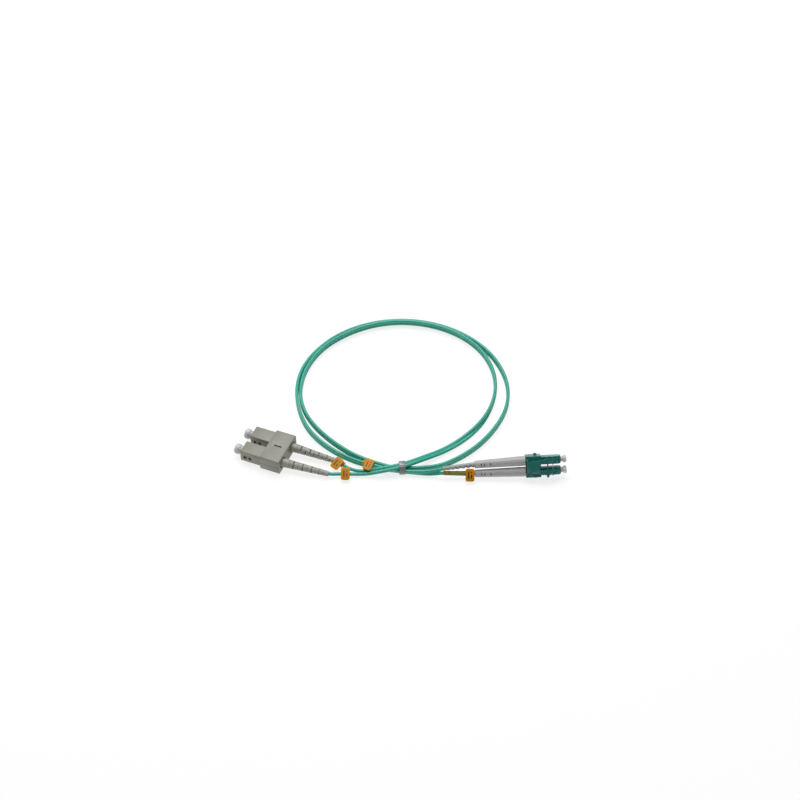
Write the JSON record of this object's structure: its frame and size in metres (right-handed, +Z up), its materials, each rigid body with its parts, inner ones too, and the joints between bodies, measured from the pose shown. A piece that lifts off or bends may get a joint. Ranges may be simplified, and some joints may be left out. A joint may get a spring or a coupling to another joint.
{
  "type": "fiber optic patch cord",
  "caption": "Duplex aqua fibre patch cord from a beige SC duplex plug to a teal LC duplex plug, loosely wound and tied, with dust caps and orange cable markers.",
  "frame": {"origin": "on the floor under the middle of the box round the two plugs", "axes": "+X from the SC plug towards the LC plug, +Y towards the cord's loop, +Z up from the surface the cord lies on"},
  "size_m": [0.1874, 0.136, 0.0154],
  "materials": {
    "sc_plastic": "fine moulded satin, warm beige grey",
    "sc_boot": "flexible satin, beige grey",
    "cap_white": "milky white, slightly see-through",
    "ferrule_ceramic": "polished zirconia",
    "flange_steel": "turned",
    "spring_steel": "drawn wire",
    "crimp_metal": "plated brass",
    "lc_plastic": "smooth moulded teal",
    "lc_boot": "flexible satin, light grey",
    "tail_grey": "flexible satin, light grey",
    "tail_olive": "flexible satin, olive yellow",
    "jacket_aqua": "smooth extruded jacket, aqua",
    "marker_orange": "moulded orange-yellow",
    "tie_silver": "silver-grey band"
  },
  "bodies": {
    "root": {"cord_strand_a": "jacket_aqua", "cord_strand_b": "jacket_aqua", "lc_back_body_a": "lc_plastic", "lc_back_body_b": "lc_plastic", "lc_boot_a": "lc_boot", "lc_boot_b": "lc_boot", "lc_clip": "lc_plastic", "lc_crimp_ring_a": "crimp_metal", "lc_crimp_ring_b": "crimp_metal", "lc_housing_a": "lc_plastic", "lc_housing_b": "lc_plastic", "lc_marker_b": "marker_orange", "lc_spring_a": "spring_steel", "lc_spring_b": "spring_steel", "lc_tail_sleeve_a": "tail_grey", "lc_tail_sleeve_b": "tail_olive", "line_marker": "marker_orange", "sc_boot_a": "sc_boot", "sc_boot_b": "sc_boot", "sc_crimp_body_a": "crimp_metal", "sc_crimp_body_b": "crimp_metal", "sc_crimp_ring_a": "crimp_metal", "sc_crimp_ring_b": "crimp_metal", "sc_inner_frame_a": "sc_plastic", "sc_inner_frame_b": "sc_plastic", "sc_marker_a": "marker_orange", "sc_marker_b": "marker_orange", "sc_spring_a": "spring_steel", "sc_spring_b": "spring_steel", "tie_band": "tie_silver"},
    "sc_sleeve": {"sc_grip_a": "sc_plastic", "sc_grip_b": "sc_plastic", "sc_clip_upper": "sc_plastic", "sc_clip_lower": "sc_plastic"},
    "lc_trigger": {"lc_trigger": "lc_plastic"},
    "sc_ferrule_a": {"sc_ferrule_a": "ferrule_ceramic", "sc_ferrule_flange_a": "flange_steel"},
    "sc_cap_a": {"sc_dust_cap_a": "cap_white"},
    "lc_ferrule_a": {"lc_ferrule_a": "ferrule_ceramic", "lc_ferrule_flange_a": "flange_steel"},
    "lc_cap_a": {"lc_dust_cap_a": "cap_white"},
    "lc_latch_a": {"lc_latch_a": "lc_plastic"},
    "sc_ferrule_b": {"sc_ferrule_b": "ferrule_ceramic", "sc_ferrule_flange_b": "flange_steel"},
    "sc_cap_b": {"sc_dust_cap_b": "cap_white"},
    "lc_ferrule_b": {"lc_ferrule_b": "ferrule_ceramic", "lc_ferrule_flange_b": "flange_steel"},
    "lc_cap_b": {"lc_dust_cap_b": "cap_white"},
    "lc_latch_b": {"lc_latch_b": "lc_plastic"}
  },
  "joints": [
    {"name": "sc_sleeve_pull", "type": "slide", "parent": "root", "child": "sc_sleeve", "axis": [0.9272, -0.3746, 0], "range_m": [0, 0.0015]},
    {"name": "sc_ferrule_a_spring", "type": "slide", "parent": "root", "child": "sc_ferrule_a", "axis": [0.9272, -0.3746, 0], "range_m": [0, 0.001], "stiffness_N_per_m": 1500, "springref_m": -0.005},
    {"name": "sc_cap_a_pull", "type": "slide", "parent": "sc_ferrule_a", "child": "sc_cap_a", "axis": [-0.9272, 0.3746, 0], "range_m": [0, 0.012]},
    {"name": "lc_ferrule_a_spring", "type": "slide", "parent": "root", "child": "lc_ferrule_a", "axis": [-0.9983, -0.0349, -0.0471], "range_m": [0, 0.0008], "stiffness_N_per_m": 1200, "springref_m": -0.004},
    {"name": "lc_cap_a_pull", "type": "slide", "parent": "lc_ferrule_a", "child": "lc_cap_a", "axis": [0.9983, 0.0349, 0.0471], "range_m": [0, 0.01]},
    {"name": "sc_ferrule_b_spring", "type": "slide", "parent": "root", "child": "sc_ferrule_b", "axis": [0.9272, -0.3746, 0], "range_m": [0, 0.001], "stiffness_N_per_m": 1500, "springref_m": -0.005},
    {"name": "sc_cap_b_pull", "type": "slide", "parent": "sc_ferrule_b", "child": "sc_cap_b", "axis": [-0.9272, 0.3746, 0], "range_m": [0, 0.012]},
    {"name": "lc_ferrule_b_spring", "type": "slide", "parent": "root", "child": "lc_ferrule_b", "axis": [-0.9983, -0.0349, -0.0471], "range_m": [0, 0.0008], "stiffness_N_per_m": 1200, "springref_m": -0.004},
    {"name": "lc_cap_b_pull", "type": "slide", "parent": "lc_ferrule_b", "child": "lc_cap_b", "axis": [0.9983, 0.0349, 0.0471], "range_m": [0, 0.01]},
    {"name": "lc_trigger_press", "type": "hinge", "parent": "root", "child": "lc_trigger", "pos_m": [0.07161, -0.01457, 0.00888], "axis": [-0.0585, 0.5429, 0.8377], "range_deg": [0, 2.6], "stiffness_Nm_per_rad": 1.6},
    {"name": "lc_latch_a_flex", "type": "hinge", "parent": "root", "child": "lc_latch_a", "pos_m": [0.088, -0.01162, 0.01185], "axis": [-0.0585, 0.5429, 0.8377], "range_deg": [-6.2, 0]},
    {"name": "lc_latch_b_flex", "type": "hinge", "parent": "root", "child": "lc_latch_b", "pos_m": [0.08836, -0.01501, 0.00661], "axis": [-0.0585, 0.5429, 0.8377], "range_deg": [-6.2, 0]}
  ],
  "couplings": [
    {"joint": "lc_latch_a_flex", "follows": "lc_trigger_press", "ratio": -2.3},
    {"joint": "lc_latch_b_flex", "follows": "lc_trigger_press", "ratio": -2.3}
  ]
}
